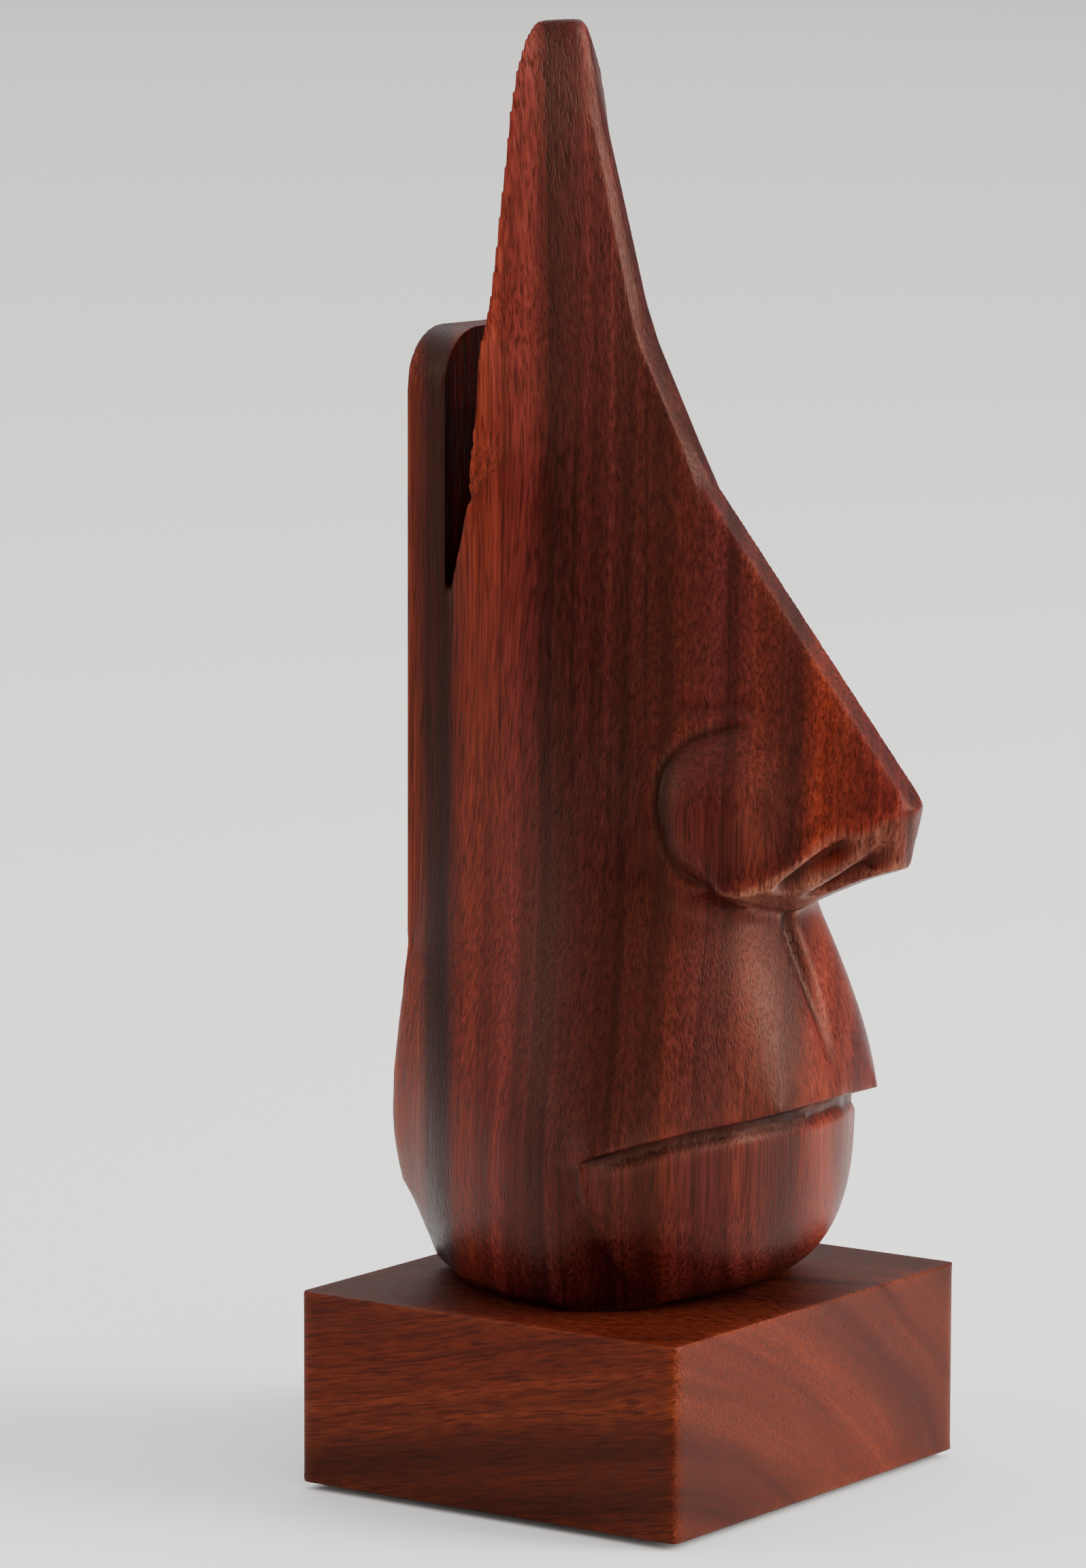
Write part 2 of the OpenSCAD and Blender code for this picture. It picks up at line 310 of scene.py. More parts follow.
def sharp_points(obj, angle, step=0.25 * MM):
    """Points along the edges of a mesh that turn by more than an angle.

    Each row is a place, the direction between the edge's two faces, the angle it turns by and
    how steeply the edge climbs.
    """
    work = bmesh.new()
    work.from_mesh(obj.data)
    found = []
    for edge in work.edges:
        if len(edge.link_faces) == 2 and edge.calc_face_angle(0.0) > angle:
            a, b = (v.co for v in edge.verts)
            outward = (edge.link_faces[0].normal + edge.link_faces[1].normal).normalized()
            turn = edge.calc_face_angle_signed(0.0)
            count = max(2, int((a - b).length / step))
            climb = abs((b - a).normalized().z)
            found += [(*a.lerp(b, i / count), *outward, turn, climb) for i in range(count + 1)]
    work.free()
    return np.array(found)


def remeshed(obj, spacing):
    """The same shape with evenly spaced points."""
    remesh = obj.modifiers.new("remesh", "REMESH")
    remesh.mode = "VOXEL"
    remesh.voxel_size = spacing
    return as_plain_mesh(obj)


def points_of(obj):
    """The places of a mesh's points, one row each."""
    co = np.empty(len(obj.data.vertices) * 3)
    obj.data.vertices.foreach_get("co", co)
    return co.reshape(-1, 3)


def normals_of(obj):
    no = np.empty(len(obj.data.vertices) * 3, np.float32)
    obj.data.vertex_normals.foreach_get("vector", no)
    return no.reshape(-1, 3).astype(float)


def set_points(obj, co):
    obj.data.vertices.foreach_set("co", co.astype(np.float32).ravel())
    obj.data.update()


def neighbours_of(obj):
    """Each vertex's neighbours, padded with the vertex itself."""
    ends = np.empty(len(obj.data.edges) * 2, np.int64)
    obj.data.edges.foreach_get("vertices", ends)
    ends = ends.reshape(-1, 2)
    both = np.concatenate([ends, ends[:, ::-1]])
    both = both[np.argsort(both[:, 0], kind="stable")]
    count = np.bincount(both[:, 0], minlength=len(obj.data.vertices))
    start = np.concatenate([[0], np.cumsum(count)[:-1]])
    column = np.arange(len(both)) - start[both[:, 0]]
    table = np.repeat(np.arange(len(count))[:, None], count.max(), axis=1)
    table[both[:, 0], column] = both[:, 1]
    return table, count


def smoothed(co, table, count, weight, rounds):
    """Moves each point towards the middle of its neighbours, as far as its weight says."""
    spare = (table.shape[1] - count)[:, None]
    weight = weight[:, None] if isinstance(weight, np.ndarray) else weight
    for _ in range(rounds):
        total = co[table].sum(axis=1) - spare * co
        co = co + weight * (total / count[:, None] - co)
    return co


def nearest(co, targets):
    """For each point, the nearest target's index and distance."""
    tree = KDTree(len(targets))
    for i, p in enumerate(targets):
        tree.insert(p, i)
    tree.balance()
    found = [tree.find(p) for p in co]
    return np.array([f[1] for f in found]), np.array([f[2] for f in found])


def layout(co):
    """Millimetres to the side, forward and up from the middle of the block's underside."""
    return (
        (co[:, 0] - CENTRE_X) / MM,
        (CENTRE_Y - co[:, 1]) / MM,
        (co[:, 2] - BLOCK_UNDERSIDE) / MM,
    )


def spot(side, forward, up):
    """The opposite of layout(), for one point."""
    return (CENTRE_X + side * MM, CENTRE_Y - forward * MM, BLOCK_UNDERSIDE + up * MM)


def polyline(points, step=0.15):
    """Points a step apart along a line through (side, forward, up) corners, in metres."""
    points = np.array([spot(*p) for p in points])
    legs = np.linalg.norm(np.diff(points, axis=0), axis=1)
    along = np.concatenate([[0], np.cumsum(legs)])
    count = max(2, int(along[-1] / (step * MM)))
    at = np.linspace(0, along[-1], count)
    return np.stack([np.interp(at, along, points[:, i]) for i in range(3)], axis=1)


def curve(points, step=0.15):
    """The same through a smooth curve: corners are cut three times first."""
    points = np.array(points, float)
    for _ in range(3):
        cut = np.empty((2 * len(points) - 2, 3))
        cut[0::2] = 0.75 * points[:-1] + 0.25 * points[1:]
        cut[1::2] = 0.25 * points[:-1] + 0.75 * points[1:]
        points = np.concatenate([points[:1], cut, points[-1:]])
    return polyline(points, step)


def both_sides(points):
    """A line and its mirror image on the other side of the face."""
    return [points, [(-p[0], p[1], p[2]) for p in points]]


# ---------------------------------------------------------------- the carved head and its block

# Places on the head are (side, forward, up) in millimetres, as layout() gives them.
# Lines that stay crisp when the rest of the head is sanded, on one side of the face.
JAW_CREASE = [
    (25.3, 10.6, 37.3), (25.0, 10.7, 34.5), (24.3, 10.9, 32.0), (22.3, 11.0, 28.7),
    (19.9, 11.0, 26.0), (16.6, 11.0, 23.1), (14.2, 11.0, 21.2),
]
NOSE_SIDE_EDGE = [(2.2, 33.9, 71.9), (12.4, 20.5, 63.1)]
NOSE_FOOT_EDGE = [(12.4, 20.5, 63.1), (0.0, 20.0, 60.0)]
NOSE_KEEL = [(0.0, 34.6, 71.7), (0.9, 33.1, 65.7), (0.0, 20.0, 60.0)]
# Paths of the carver's cuts, on one side of the face.
WING_RIM = [
    (6.4, 18.6, 79.6), (7.8, 16.3, 79.5), (8.8, 14.6, 79.0), (10.0, 13.0, 78.1), (11.1, 11.9, 76.6),
    (12.0, 11.3, 75.0), (12.9, 11.3, 73.1), (13.5, 11.6, 71.2), (13.9, 12.3, 69.0),
    (13.4, 13.0, 66.6), (12.8, 14.3, 64.8), (12.6, 16.2, 63.4), (12.3, 18.4, 62.8),
]
NOSTRIL_CUT = [(4.9, 30.3, 69.7), (6.3, 28.1, 67.3), (7.6, 25.9, 64.6), (8.2, 23.4, 62.6)]
SEPTUM_CUT = [
    (1.9, 33.1, 68.7), (2.8, 32.0, 67.3), (3.6, 30.3, 65.4), (3.4, 26.4, 63.0), (3.2, 23.4, 61.6),
]
PHILTRUM = [
    (0.0, 18.0, 62.0), (0.0, 19.4, 60.2), (0.0, 21.2, 56.0), (0.0, 22.7, 51.0), (0.0, 23.8, 43.5),
]
MOUTH_CUT = [
    (24.5, 11.1, 36.8), (23.3, 12.0, 36.9), (20.9, 13.7, 37.5), (17.6, 16.0, 38.4),
    (13.3, 18.4, 39.0), (7.6, 20.7, 39.4), (3.0, 21.7, 39.3), (0.0, 21.8, 39.3),
]
NICKS = 9


def crisp(edges):
    """Picks the sharp edge points of the CAD head that the carver left crisp."""
    points = edges[:, :3]
    side, forward, up = layout(points)
    side = np.abs(side)
    mouth = (up > 36) & (up < 43) & (forward > 9) & (edges[:, 7] < 0.6)
    ridge = (side < 2.7) & (up > 65) & (up < 108) & (forward > 0.5)
    crown = (side < 2.5) & (up > 100) & (forward > -9)
    slot = (up > 86) & (forward < -7.5)
    back = (up > 30) & (forward < -14.5)
    foot = (up < 21.3) & (forward < 9)
    screw_holes = (np.abs(side - 8) < 4) & (np.abs(forward) < 4) & (up < 50)
    keep = mouth | ridge | crown | slot | back | foot | screw_holes
    for line in (JAW_CREASE, NOSE_SIDE_EDGE, NOSE_FOOT_EDGE, NOSE_KEEL):
        for one in both_sides(line):
            keep |= nearest(points, polyline(one, 0.3))[1] < 1.3 * MM
    return edges[keep]


def gouge(
    co, normals, surface, cut, path, depth, inside, outside, fade=(0.12, 0.12), keen=1.5, dark=1.0
):
    """Cuts a groove along a path on the surface.

    The groove is depth deep and runs out over inside and outside millimetres on its two sides;
    inside is on the left of the path seen from above the surface. fade is the share of the path
    over which each end rises from nothing, keen the shape of its sides, and dark how much darker
    it is painted, for the wax it holds and as painted shade.
    """
    path = np.array([surface.find_nearest(p)[0] for p in path])
    reach = (max(inside, outside) + 0.5) * MM
    low, high = path.min(axis=0) - reach, path.max(axis=0) + reach
    close = np.where(((co > low) & (co < high)).all(axis=1))[0]
    index, far = nearest(co[close], path)
    ahead = np.gradient(path, axis=0)[index]
    left = np.cross(normals[close], ahead)
    on_left = (left * (co[close] - path[index])).sum(axis=1) > 0
    width = np.where(on_left, inside, outside) * MM
    along = index / (len(path) - 1)
    ends = np.clip(np.minimum(along / fade[0], (1 - along) / fade[1]), 0, 1)
    profile = np.clip(1 - far / width, 0, 1) ** keen * ends * (far < width)
    co[close] -= normals[close] * (depth * MM * profile)[:, None]
    # The groove is painted darker, as wax and as painted shade.
    cut[close] = np.maximum(cut[close], profile * dark * min(1.0, depth))


def onto_edges(obj, edges, table, count):
    """Draws the points beside a sharp edge onto it, so that the edge runs clean.

    edges has the rows of sharp_points(). A point that looks the way the edge does comes from
    further away than its reach.
    """
    for _ in range(2):
        co = points_of(obj)
        index, far = nearest(co, edges[:, :3])
        turn = edges[index, 6]
        # The remesh falls short of a keen edge, so points come to it from further away.
        keenness = np.clip((turn - math.radians(60)) / math.radians(60), 0, 1)
        reach = (0.42 + 0.5 * keenness) * MM
        pull = np.clip(1.3 - far / reach, 0, 1)
        facing = (normals_of(obj) * edges[index, 3:6]).sum(axis=1)
        level = np.cos(np.abs(turn) / 2)
        keen = np.clip((facing - level - 0.25 * (1 - level)) / (0.4 * (1 - level) + 1e-6), 0, 1)
        keen *= (turn > math.radians(50)) * (far < 1.1 * MM)
        pull = np.maximum(pull, keen)[:, None]
        co = co + pull * (edges[index, :3] - co)
        set_points(obj, smoothed(co, table, count, 0.5, 1))


def wear_and_hollow_shade(obj, table, count, cut):
    """0 in the cuts and hollows, 0.5 on open faces, up to 1 on edges that hands have rubbed.

    The dark of the cuts and hollows is wax and painted shade.
    """
    co, normals = points_of(obj), normals_of(obj)
    spare = (table.shape[1] - count)[:, None]
    offset = (co[table].sum(axis=1) - spare * co) / count[:, None] - co
    # How far each point stands out from its neighbours, in twentieths of a millimetre.
    bend = -(offset * normals).sum(axis=1) / (0.05 * MM)
    for _ in range(3):
        bend = bend + 0.5 * ((bend[table].sum(axis=1) - spare[:, 0] * bend) / count - bend)
    # Hollows and cuts are painted darker as shade and wax, ridges lighter as wear.
    return np.clip(0.5 + 0.45 * np.clip(bend, -1.2, 1) - 0.35 * cut, 0, 1)


def finish_wood(obj, wear_and_shading, raw):
    """Hands the wood's wear and painted light, and its painted floor reflection, to its material,
    and shades it smooth.
    """
    for name, values in (("wear", wear_and_shading), ("raw", raw)):
        attribute = obj.data.attributes.new(name, "FLOAT", "POINT")
        attribute.data.foreach_set("value", values.astype(np.float32))
    obj.data.polygons.foreach_set("use_smooth", np.ones(len(obj.data.polygons), bool))


def build_head():
    """The CAD head, remeshed, sanded where the real one is smooth and then cut with the knife."""
    source = merged_copy("carved_head", "head")
    edges = crisp(sharp_points(source, math.radians(20)))
    head = remeshed(source, HEAD_SPACING)
    table, count = neighbours_of(head)
    co = points_of(head)
    far = nearest(co, edges[:, :3])[1] / MM
    # Facets within half a millimetre of a crisp line stay; 3 mm away they run into each other.
    soft = np.clip((far - 0.5) / 2.4, 0, 1) ** 1.4
    sanding_rounds = 150
    set_points(head, smoothed(co, table, count, 0.5 * soft, sanding_rounds))
    onto_edges(head, edges, table, count)

    co = points_of(head)
    normals = normals_of(head)
    cut = np.zeros(len(co))
    work = bmesh.new()
    work.from_mesh(head.data)
    surface = BVHTree.FromBMesh(work)
    work.free()

    def carve(points, depth, inside, outside, **more):
        for one in both_sides(points):
            # Mirrored, the left of the path is on its other side.
            flipped = one is not points
            a, b = (outside, inside) if flipped else (inside, outside)
            gouge(co, normals, surface, cut, curve(one), depth, a, b, **more)

    carve(JAW_CREASE, 0.6, 4.5, 0.5, fade=(0.06, 0.2), keen=1.0, dark=0.0)
    carve(MOUTH_CUT, 0.9, 1.5, 0.8, fade=(0.12, 0.01), keen=1.0)
    carve(WING_RIM, 0.8, 0.7, 2.6, dark=0.6)
    carve(NOSTRIL_CUT, 1.6, 1.5, 1.7, fade=(0.25, 0.15), keen=0.9)
    carve(SEPTUM_CUT, 1.5, 1.2, 1.5, fade=(0.35, 0.15), keen=0.9)
    gouge(co, normals, surface, cut, curve(PHILTRUM), 1.3, 1.5, 1.5, fade=(0.04, 0.6), keen=1.0)
    # Small knife nicks in a row above the nostril.
    for i in range(NICKS):
        side, forward, up = 10.2 - 0.35 * i, 12.2 + 0.85 * i, 80.2 + 0.1 * i
        nick = [(side, forward, up), (side - 0.4, forward, up + 2.2)]
        carve(nick, 0.35, 0.5, 0.5, fade=(0.3, 0.3))
    co = smoothed(co, table, count, 0.35, 1)
    set_points(head, co)

    wear_and_shading = wear_and_hollow_shade(head, table, count, cut)
    _, forward, up = layout(co)
    # Painted highlight along the jaw's crease and the nose's side edge, laid on as paler wear.
    for line in (JAW_CREASE, NOSE_SIDE_EDGE):
        for one in both_sides(line):
            away = nearest(co, polyline(one, 0.3))[1] / MM
            wear_and_shading = np.clip(wear_and_shading + 0.35 * np.clip(1.2 - away, 0, 1), 0, 1)
    # Painted light: the chin is painted paler beside the jaw's crease, where it faces the light.
    for one in both_sides(JAW_CREASE):
        away = nearest(co, polyline(one, 0.3))[1] / MM
        wear_and_shading += 0.3 * np.clip(1.6 - away / 4, 0, 1) * (forward > 11) * (up < 37)
    # A painted reflection of the pale floor on the faces under the nose that look down.
    facing = smoothed(normals_of(head), table, count, 0.5, 6)
    raw = np.clip((-0.05 - facing[:, 2]) / 0.2, 0, 1)
    raw *= (forward > 18.5) * (up > 59) * (up < 73.5) * (1 - cut)
    # Painted shade on the front of the nose's ridge, on the faces that look forward.
    wear_and_shading -= 0.35 * np.clip((-0.6 - facing[:, 1]) / 0.2, 0, 1) * (up > 66) * (up < 110)
    finish_wood(head, wear_and_shading, raw)
    return head


def build_block():
    """The CAD block with its edges slightly eased and worn, and painted shade in its hollows."""
    source = merged_copy("base_block", "block")
    edges = sharp_points(source, math.radians(50))
    block = remeshed(source, BLOCK_SPACING)
    table, count = neighbours_of(block)
    onto_edges(block, edges, table, count)
    wear_and_shading = wear_and_hollow_shade(block, table, count, 0)
    finish_wood(block, wear_and_shading, np.zeros(len(wear_and_shading)))
    return block


# ---------------------------------------------------------------- fixings and pads


def turned(name, profile, centre, segments=64):
    """A closed shape turned on a lathe.

    profile lists (radius, height) in millimetres, from the axis at the bottom to the axis at the
    top. centre is the bottom of the axis, in metres.
    """
    points, faces = [], []
    inner = profile[1:-1]
    for radius, height in inner:
        for k in range(segments):
            angle = 2 * math.pi * k / segments
            points.append((
                centre[0] + radius * math.cos(angle) * MM,
                centre[1] + radius * math.sin(angle) * MM,
                centre[2] + height * MM,
            ))
    for row in range(len(inner) - 1):
        for k in range(segments):
            a, b = row * segments + k, row * segments + (k + 1) % segments
            faces.append((a, b, b + segments, a + segments))
    bottom, top = len(points), len(points) + 1
    points.append((centre[0], centre[1], centre[2] + profile[0][1] * MM))
    points.append((centre[0], centre[1], centre[2] + profile[-1][1] * MM))
    last = (len(inner) - 1) * segments
    for k in range(segments):
        faces.append((bottom, (k + 1) % segments, k))
        faces.append((top, last + k, last + (k + 1) % segments))
    return make_object(name, points, faces)


def smooth_by_angle(obj, degrees):
    """Shades a mesh smooth and keeps the edges that turn by more than an angle sharp."""
    obj.data.polygons.foreach_set("use_smooth", np.ones(len(obj.data.polygons), bool))
    work = bmesh.new()
    work.from_mesh(obj.data)
    for edge in work.edges:
        edge.smooth = edge.calc_face_angle(0.0) < math.radians(degrees)
    work.to_mesh(obj.data)
    work.free()


def node_tree(name, inputs):
    """A new Geometry Nodes tree: the tree, the outputs of its start and the inputs of its end."""
    tree = bpy.data.node_groups.new(name, "GeometryNodeTree")
    tree.interface.new_socket("Geometry", in_out="INPUT", socket_type="NodeSocketGeometry")
    for label, kind in inputs:
        tree.interface.new_socket(label, in_out="INPUT", socket_type=kind)
    tree.interface.new_socket("Geometry", in_out="OUTPUT", socket_type="NodeSocketGeometry")
    start = tree.nodes.new("NodeGroupInput")
    end = tree.nodes.new("NodeGroupOutput")
    return tree, start.outputs, end.inputs


def grown(obj, tree, values):
    """Runs a Geometry Nodes tree on an object with the values for its named inputs."""
    modifier = obj.modifiers.new(tree.name, "NODES")
    modifier.node_group = tree
    for item in tree.interface.items_tree:
        if item.item_type == "SOCKET" and item.in_out == "INPUT" and item.name in values:
            modifier[item.identifier] = values[item.name]
    return as_plain_mesh(obj)


def thread_tree():
    """A ridge that winds up round the screw's core."""
    tree, given, result = node_tree("screw thread", [
        ("Turns", "NodeSocketFloat"), ("Radius", "NodeSocketFloat"),
        ("Length", "NodeSocketFloat"), ("Ridge", "NodeSocketFloat"),
        ("Place", "NodeSocketVector"), ("Metal", "NodeSocketMaterial"),
    ])
    helix = add(
        tree, "GeometryNodeCurveSpiral", {"Resolution": 36, "Reverse": False},
        {"Rotations": given["Turns"], "Start Radius": given["Radius"],
         "End Radius": given["Radius"], "Height": given["Length"]},
    ).outputs[0]
    upright = add(
        tree, "GeometryNodeSetCurveNormal", {"mode": "Z_UP"}, {"Curve": helix}
    ).outputs[0]
    ridge = add(
        tree, "GeometryNodeCurvePrimitiveCircle", {"Resolution": 3}, {"Radius": given["Ridge"]}
    ).outputs[0]
    swept = add(
        tree, "GeometryNodeCurveToMesh", {"Fill Caps": True},
        {"Curve": upright, "Profile Curve": ridge},
    ).outputs[0]
    placed = add(
        tree, "GeometryNodeTransform", None, {"Geometry": swept, "Translation": given["Place"]}
    ).outputs[0]
    both = add(tree, "GeometryNodeJoinGeometry").inputs[0]
    tree.links.new(placed, both)
    tree.links.new(given["Geometry"], both)
    real = add(
        tree, "GeometryNodeRealizeInstances", None, {0: both.node.outputs[0]}
    ).outputs[0]
    dressed = add(
        tree, "GeometryNodeSetMaterial", None, {"Geometry": real, "Material": given["Metal"]}
    ).outputs[0]
    tree.links.new(dressed, result["Geometry"])
    return tree


def fibre_tree():
    """Short wool fibres lying about on the upright side of a felt disc."""
    tree, given, result = node_tree("felt fibres", [
        ("Density", "NodeSocketFloat"), ("Length", "NodeSocketFloat"),
        ("Thickness", "NodeSocketFloat"), ("Seed", "NodeSocketInt"),
        ("Felt", "NodeSocketMaterial"),
    ])
    normal = add(tree, "GeometryNodeInputNormal").outputs[0]
    parts = add(tree, "ShaderNodeSeparateXYZ", None, {0: normal})
    slope = add(
        tree, "ShaderNodeMath", {"operation": "ABSOLUTE"}, {0: parts.outputs[2]}
    ).outputs[0]
    upright = add(
        tree, "ShaderNodeMath", {"operation": "LESS_THAN", 1: 0.4}, {0: slope}
    ).outputs[0]
    spots = add(
        tree, "GeometryNodeDistributePointsOnFaces", None,
        {"Mesh": given["Geometry"], "Density": given["Density"], "Seed": given["Seed"],
         "Selection": upright},
    )
    half = add(
        tree, "ShaderNodeMath", {"operation": "MULTIPLY", 1: 0.5}, {0: given["Length"]}
    ).outputs[0]
    ahead = add(tree, "ShaderNodeCombineXYZ", None, {"X": half}).outputs[0]
    behind = add(
        tree, "ShaderNodeVectorMath", {"operation": "SCALE", "Scale": -1.0}, {0: ahead}
    ).outputs[0]
    lift = add(
        tree, "ShaderNodeMath", {"operation": "MULTIPLY", 1: 0.4}, {0: given["Length"]}
    ).outputs[0]
    top = add(tree, "ShaderNodeCombineXYZ", None, {"Y": lift}).outputs[0]
    bent = add(
        tree, "GeometryNodeCurveQuadraticBezier", {"Resolution": 4},
        {"Start": behind, "Middle": top, "End": ahead},
    ).outputs[0]
    round_ = add(
        tree, "GeometryNodeCurvePrimitiveCircle", {"Resolution": 3},
        {"Radius": given["Thickness"]},
    ).outputs[0]
    fibre = add(
        tree, "GeometryNodeCurveToMesh", {"Fill Caps": True},
        {"Curve": bent, "Profile Curve": round_},
    ).outputs[0]
    turn = add(
        tree, "FunctionNodeRandomValue",
        {"data_type": "FLOAT_VECTOR", 0: (-0.3, -0.3, -0.5), 1: (0.3, 0.3, 0.5)},
        {"Seed": given["Seed"]},
    ).outputs[0]
    lying = add(
        tree, "FunctionNodeRotateEuler", {"rotation_type": "EULER", "space": "LOCAL"},
        {0: spots.outputs["Rotation"], 1: turn},
    ).outputs[0]
    planted = add(
        tree, "GeometryNodeInstanceOnPoints", None,
        {"Points": spots.outputs["Points"], "Instance": fibre, "Rotation": lying},
    ).outputs[0]
    both = add(tree, "GeometryNodeJoinGeometry").inputs[0]
    tree.links.new(planted, both)
    tree.links.new(given["Geometry"], both)
    real = add(
        tree, "GeometryNodeRealizeInstances", None, {0: both.node.outputs[0]}
    ).outputs[0]
    dressed = add(
        tree, "GeometryNodeSetMaterial", None, {"Geometry": real, "Material": given["Felt"]}
    ).outputs[0]
    tree.links.new(dressed, result["Geometry"])
    return tree


def middle_and_height(node):
    """The bottom of a round CAD node's axis, its radius and its height, the last two in mm."""
    low, high = (Vector(c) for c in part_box(node))
    bottom = ((low.x + high.x) / 2, (low.y + high.y) / 2, low.z)
    return bottom, (high.x - low.x) / 2 / MM, (high.z - low.z) / MM


def build_plug(node, material):
    """A cross-grain plug with eased edges and a face left a hair uneven by the sander."""
    bottom, radius, height = middle_and_height(node)
    ease = 0.35
    hollow = 0.05
    face = [(radius * k / 8, hollow * (1 - (k / 8) ** 2)) for k in range(8)]
    rings = face + [
        (radius - ease, 0.0), (radius - 0.1, 0.1), (radius, ease), (radius, height / 2),
        (radius, height - ease), (radius - 0.1, height - 0.1), (radius - ease, height),
        (radius / 2, height), (0, height),
    ]
    plug = turned(node.replace("screw_", "") + "_wood", rings, bottom)
    smooth_by_angle(plug, 35)
    attribute = plug.data.attributes.new("wear", "FLOAT", "POINT")
    co = points_of(plug)
    away = np.hypot(co[:, 0] - bottom[0], co[:, 1] - bottom[1]) / MM
    # The glue line round the plug is dark.
    wear_and_shading = np.where(away > radius - ease - 0.01, 0.2, 0.55)
    attribute.data.foreach_set("value", wear_and_shading.astype(np.float32))
    plug.data.materials.append(material)
    return plug


def build_screw(node, tree, material):
    """A countersunk wood screw: cross recess, plain shank, wound thread and gimlet point."""
    bottom, radius, height = middle_and_height(node)
    # Radii of the shank and the thread's core, height of the shank's end and length of the point.
    shank, core, shank_end, point = 2.0, 1.5, 13.0, 4.0
    rim = 0.25
    cone_end = radius - shank + rim
    body = turned(node + "_steel", [
        (0, 0), (radius - 0.5, 0), (radius - 0.12, 0.06), (radius, rim), (shank, cone_end),
        (shank, shank_end - 0.6), (core, shank_end), (core, height - point),
        (core * 0.55, height - point * 0.4), (0.2, height - 0.05), (0, height),
    ], bottom, 48)
    # Height, half length and half width of the recess's arms, outside the face and at its floor.
    arms = [(-0.5, 2.2, 0.45), (1.6, 1.2, 0.3)]
    cutters = []
    for turn in (0, 1):
        points = []
        for depth, arm, half in arms:
            for sx, sy in ((-1, -1), (1, -1), (1, 1), (-1, 1)):
                x, y = (sx * arm, sy * half) if turn == 0 else (-sy * half, sx * arm)
                points.append((bottom[0] + x * MM, bottom[1] + y * MM, bottom[2] + depth * MM))
        sides = [(k, (k + 1) % 4, 4 + (k + 1) % 4, 4 + k) for k in range(4)]
        cutter = make_object("cutter", points, [(3, 2, 1, 0), (4, 5, 6, 7), *sides])
        cut = body.modifiers.new("recess", "BOOLEAN")
        cut.operation = "DIFFERENCE"
        cut.solver = "EXACT"
        cut.object = cutter
        cutters.append(cutter)
    as_plain_mesh(body)
    for cutter in cutters:
        bpy.data.objects.remove(cutter)
    body.data.materials.append(material)
    pitch, ridge = 1.7, 0.42
    length = height - point * 0.8 - shank_end + 0.6
    start = bottom[2] + (shank_end - 0.4) * MM
    grown(body, tree, {
        "Turns": length / pitch, "Radius": core * MM, "Length": length * MM,
        "Ridge": ridge * MM, "Metal": material, "Place": (bottom[0], bottom[1], start),
    })
    smooth_by_angle(body, 30)
    return body


def build_pad(node, tree, material, seed):
    """A punched felt disc with a soft rim and loose fibres round its side."""
    bottom, radius, height = middle_and_height(node)
    rim = 0.3
    profile = [(radius * k / 6, 0) for k in range(6)]
    steps = [math.pi / 2 * k / 5 for k in range(6)]
    inner = radius - rim
    profile += [(inner + rim * math.sin(a), rim - rim * math.cos(a)) for a in steps]
    profile += [(inner + rim * math.cos(a), height - rim + rim * math.sin(a)) for a in steps]
    profile += [(radius / 2, height), (0, height)]
    pad = turned(node.replace("felt_", "") + "_felt", profile, bottom, 56)
    # The punched side wavers, by up to a fortieth of the radius.
    co = points_of(pad)
    angle = np.arctan2(co[:, 1] - bottom[1], co[:, 0] - bottom[0])
    away = np.hypot(co[:, 0] - bottom[0], co[:, 1] - bottom[1]) / MM
    ripple = 1 - 0.012 * (1 + np.sin(7 * angle + seed) * np.sin(3 * angle + 2 * seed)) * (away > 3)
    for axis in (0, 1):
        co[:, axis] = bottom[axis] + (co[:, axis] - bottom[axis]) * ripple
    set_points(pad, co)
    pad.data.materials.append(material)
    grown(pad, tree, {
        "Density": 9.0e6, "Length": 0.8 * MM, "Thickness": 0.03 * MM, "Seed": seed,
        "Felt": material,
    })
    pad.data.polygons.foreach_set("use_smooth", np.ones(len(pad.data.polygons), bool))
    return pad


def zinc_steel():
    """Bright zinc on steel: greyish silver with a faint yellow cast and fine tool marks."""
    material, tree, shader = new_material("Zinc-plated steel")
    place = add(tree, "ShaderNodeTexCoord").outputs["Object"]
    at = add(
        tree, "ShaderNodeMapping", {"Scale": (1 / (0.5 * MM), 1 / (0.5 * MM), 1 / (0.12 * MM))},
        {"Vector": place},
    ).outputs[0]
    marks = add(
        tree, "ShaderNodeTexNoise", {"Scale": 1.0, "Detail": 3.0, "Roughness": 0.6}, {"Vector": at}
    ).outputs["Fac"]
    tint = add(
        tree, "ShaderNodeValToRGB",
        {"stops": [(0.3, "#a9a48e"), (0.55, "#c8c3ae"), (0.75, "#d6d2c4")]}, {0: marks},
    ).outputs["Color"]
    rough = add(
        tree, "ShaderNodeMapRange", {"To Min": 0.25, "To Max": 0.45}, {0: marks}
    ).outputs[0]
    bump = add(
        tree, "ShaderNodeBump", {"Strength": 0.3, "Distance": 0.00004}, {"Height": marks}
    ).outputs[0]
    tree.links.new(tint, shader.inputs["Base Color"])
    tree.links.new(rough, shader.inputs["Roughness"])
    tree.links.new(bump, shader.inputs["Normal"])
    shader.inputs["Metallic"].default_value = 1.0
    return material


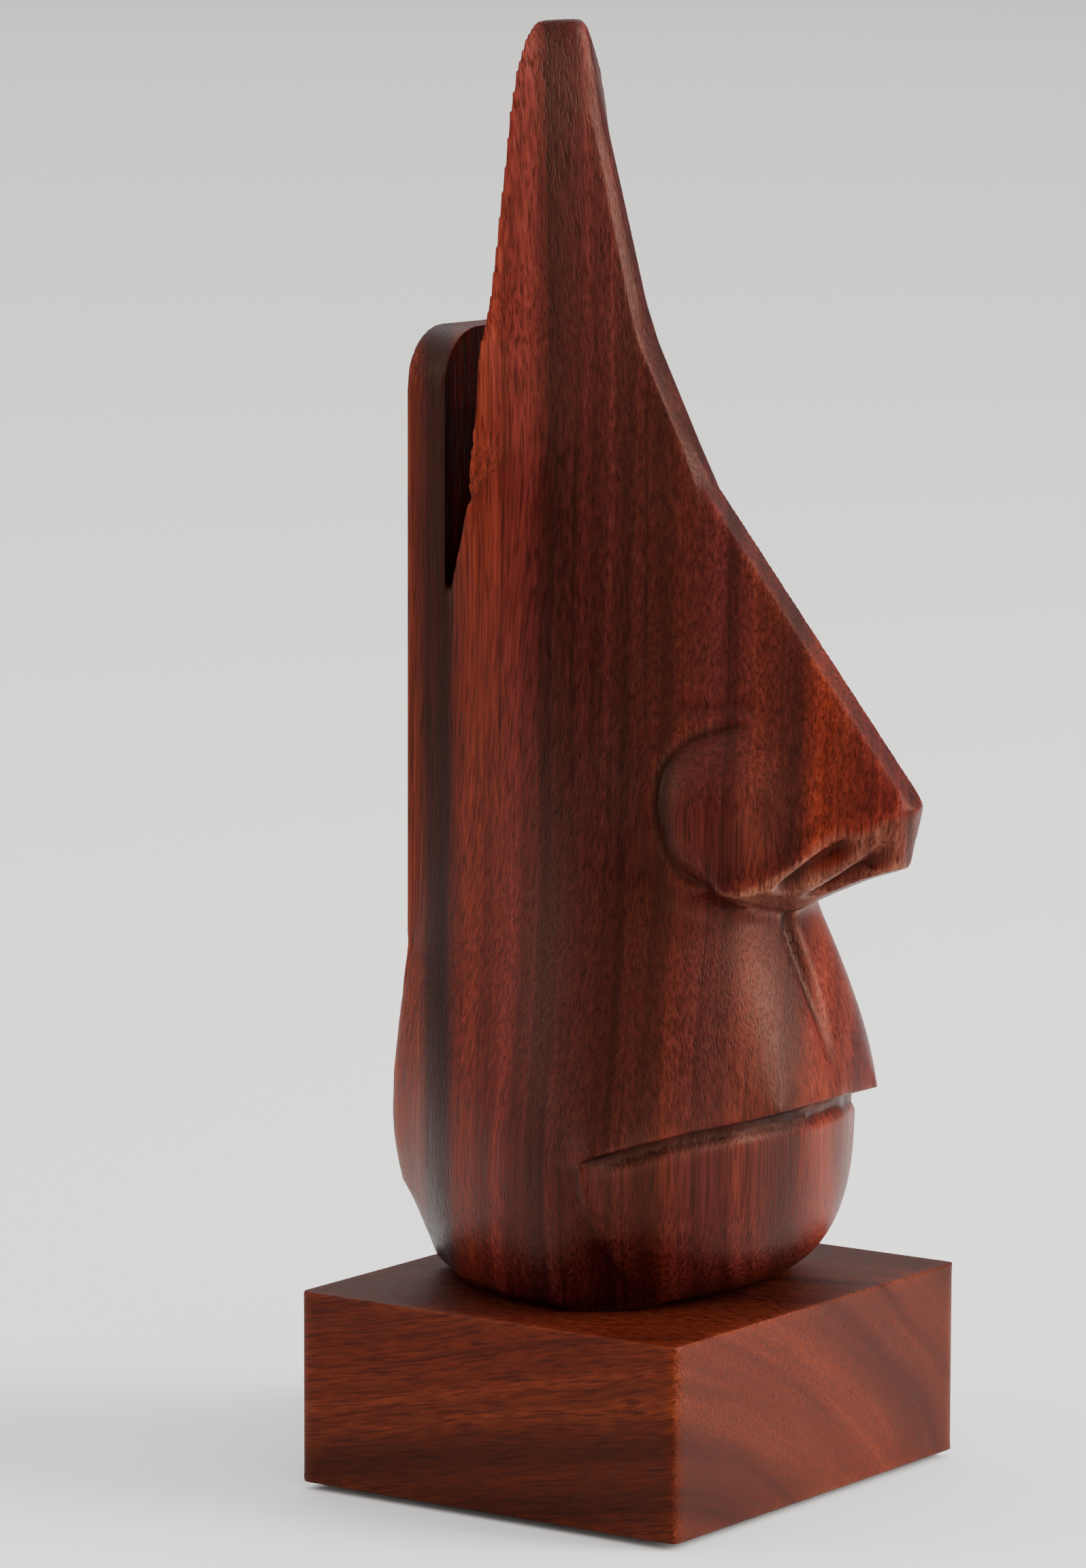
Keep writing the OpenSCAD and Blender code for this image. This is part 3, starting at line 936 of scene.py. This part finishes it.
def wool_felt():
    """Pressed wool felt: matt, mottled dark brown with paler loose fibres."""
    material, tree, shader = new_material("Pressed wool felt")
    place = add(tree, "ShaderNodeTexCoord").outputs["Object"]
    at = add(
        tree, "ShaderNodeMapping", {"Scale": (1 / (0.25 * MM),) * 3}, {"Vector": place}
    ).outputs[0]
    tufts = add(
        tree, "ShaderNodeTexNoise", {"Scale": 1.0, "Detail": 4.0, "Distortion": 1.2},
        {"Vector": at},
    ).outputs["Fac"]
    tint = add(
        tree, "ShaderNodeValToRGB",
        {"stops": [(0.32, "#241b17"), (0.5, "#3a2d27"), (0.68, "#55453c")]}, {0: tufts},
    ).outputs["Color"]
    bump = add(
        tree, "ShaderNodeBump", {"Strength": 0.7, "Distance": 0.00015}, {"Height": tufts}
    ).outputs[0]
    tree.links.new(tint, shader.inputs["Base Color"])
    tree.links.new(bump, shader.inputs["Normal"])
    shader.inputs["Roughness"].default_value = 0.95
    shader.inputs["Sheen Weight"].default_value = 0.4
    shader.inputs["Sheen Roughness"].default_value = 0.5
    shader.inputs["Specular IOR Level"].default_value = 0.2
    return material


# ---------------------------------------------------------------- the scene

add_camera()
add_studio()

reach = 15.0
floor = make_object(
    "floor", [(-reach, -reach, 0), (reach, -reach, 0), (reach, reach, 0), (-reach, reach, 0)],
    [(0, 1, 2, 3)],
)
# Painted matt, so that it takes soft shadows and mirrors nothing.
board, _, board_shader = new_material("Matt white board")
board_shader.inputs["Base Color"].default_value = linear("#ebe9e6")
board_shader.inputs["Roughness"].default_value = 0.9
floor.data.materials.append(board)

# Broad stripes of the head's timber from its back left to its front right, 60 mm across.
HEAD_STRIPES = [
    (0.12, "#511b11"), (0.145, "#1a0405"), (0.18, "#1c0405"), (0.205, "#46110a"),
    (0.24, "#4c150c"), (0.29, "#45120f"), (0.325, "#40110f"), (0.358, "#200606"),
    (0.41, "#2d0909"), (0.47, "#270807"), (0.545, "#1f0403"), (0.58, "#2d0906"),
    (0.65, "#350e0e"), (0.72, "#380f0a"), (0.78, "#270807"), (0.83, "#4a130a"),
    (0.86, "#4f180e"), (0.90, "#3f0d0a"),
]
BLOCK_STRIPES = [
    (0.0, "#300c07"), (0.2, "#3d1208"), (0.35, "#2c0904"), (0.5, "#3e1308"), (0.62, "#4a170a"),
    (0.75, "#340e07"), (0.9, "#401308"), (1.0, "#310c07"),
]
# The stripes of the head run across the view from its left cheek to its lips.
HEAD_TURN = math.radians(54.7)
middle_of_block = Vector((CENTRE_X, CENTRE_Y, 0.0)) / MM
turned_middle = Matrix.Rotation(HEAD_TURN, 3, "Z") @ middle_of_block
head_wood = sheesham(
    "Sheesham, carved and oiled", (0.0, 0.0, HEAD_TURN), tuple(-turned_middle), HEAD_STRIPES,
    span_mm=60.0, contrast=0.42, swirl_mm=4.0, bow_mm=160.0, ring_mm=2.2, fibre_mm=30.0,
    roughness=(0.36, 0.5),
)
# The block is sawn across a crooked grain, so its fibres show as short flecks.
block_wood = sheesham(
    "Sheesham, sawn and sanded", (math.radians(102), 0.0, math.radians(50)), (0.0, 0.0, 0.0),
    BLOCK_STRIPES, span_mm=60.0, contrast=0.34, swirl_mm=9.0, bow_mm=50.0, ring_mm=6.0,
    fibre_mm=2.4, roughness=(0.42, 0.58),
)

head = build_head()
head.data.materials.append(head_wood)
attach(head, "root")
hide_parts("carved_head")

block = build_block()
block.data.materials.append(block_wood)
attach(block, "root")
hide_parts("base_block")

plug_wood = sheesham(
    "Sheesham dowel, cut flush", (0.0, 0.0, 0.0), (3.0, 8.0, 0.0), BLOCK_STRIPES,
    span_mm=40.0, contrast=0.2, swirl_mm=3.0, bow_mm=30.0, ring_mm=2.0, fibre_mm=20.0,
    roughness=(0.5, 0.65),
)
for side in ("left", "right"):
    node = "screw_plug_" + side
    plug = build_plug(node, plug_wood)
    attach(plug, "root")
    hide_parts(node)

steel = zinc_steel()
thread = thread_tree()
for node in ("screw_left", "screw_right"):
    screw = build_screw(node, thread, steel)
    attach(screw, "root")
    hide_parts(node)

felt = wool_felt()
fibres = fibre_tree()
for seed, end in enumerate(("front_left", "front_right", "back_left", "back_right"), SEED):
    node = "felt_pad_" + end
    pad = build_pad(node, fibres, felt, seed)
    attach(pad, "root")
    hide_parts(node)
